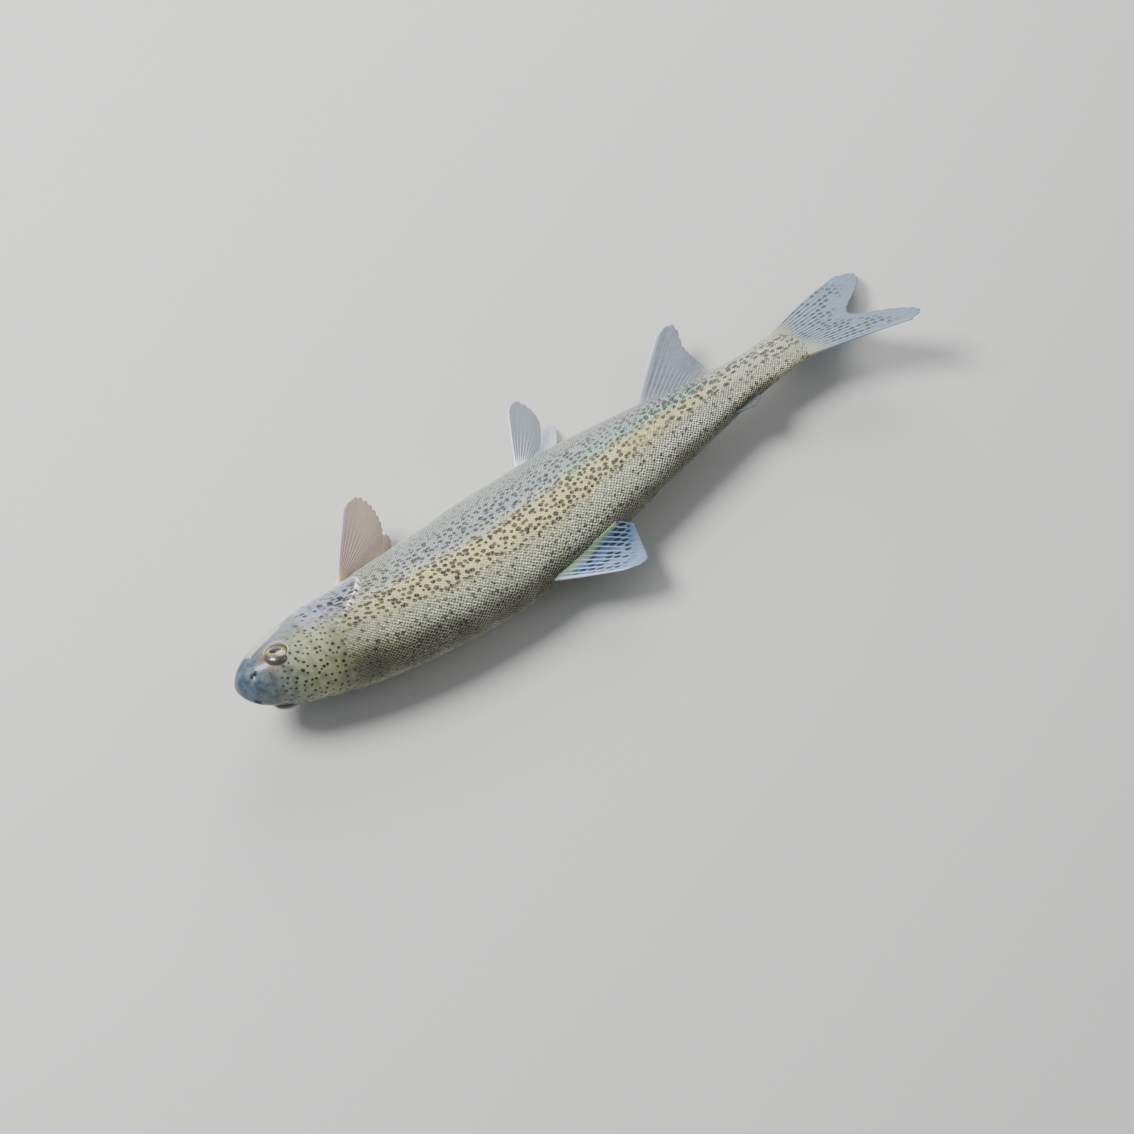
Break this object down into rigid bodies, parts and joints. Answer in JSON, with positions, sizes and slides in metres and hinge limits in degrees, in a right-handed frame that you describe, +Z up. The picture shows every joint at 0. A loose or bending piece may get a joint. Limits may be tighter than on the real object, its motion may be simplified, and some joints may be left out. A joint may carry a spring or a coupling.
{
  "type": "rainbow trout",
  "caption": "Life-size rainbow trout lying on its left flank, head slightly raised and fins part spread, as a still display model.",
  "frame": {"origin": "middle of the bounding box, at the level of the floor that the fish lies on", "axes": "+X from the head towards the tail, +Y towards the belly, +Z up, out of the right flank"},
  "size_m": [0.53, 0.1548, 0.0671],
  "materials": {
    "skin": "wet fish skin: olive back with small black spots, golden and silver flank, pale belly",
    "scales": "small overlapping scales with the skin's own markings, wet and slightly pearly",
    "spotted_fin": "bluish translucent fin membrane over rays, with rows of dark spots",
    "plain_fin": "tan to grey translucent fin membrane over fine rays, unspotted",
    "eye": "clear domed eye with a dark pupil and a mottled golden-brown iris"
  },
  "bodies": {
    "root": {"head": "skin", "lower_jaw": "skin", "trunk_front": "skin", "trunk_rear": "skin", "tail_stalk": "skin", "gill_cover_right": "skin", "upper_jaw_right": "skin", "eye_right": "eye", "gill_cover_left": "skin", "upper_jaw_left": "skin", "eye_left": "eye", "dorsal_fin": "spotted_fin", "adipose_fin": "spotted_fin", "anal_fin": "plain_fin", "caudal_fin": "spotted_fin", "pectoral_fin_right": "plain_fin", "pectoral_fin_left": "plain_fin", "pelvic_fin_right": "plain_fin", "pelvic_fin_left": "plain_fin"}
  },
  "joints": []
}
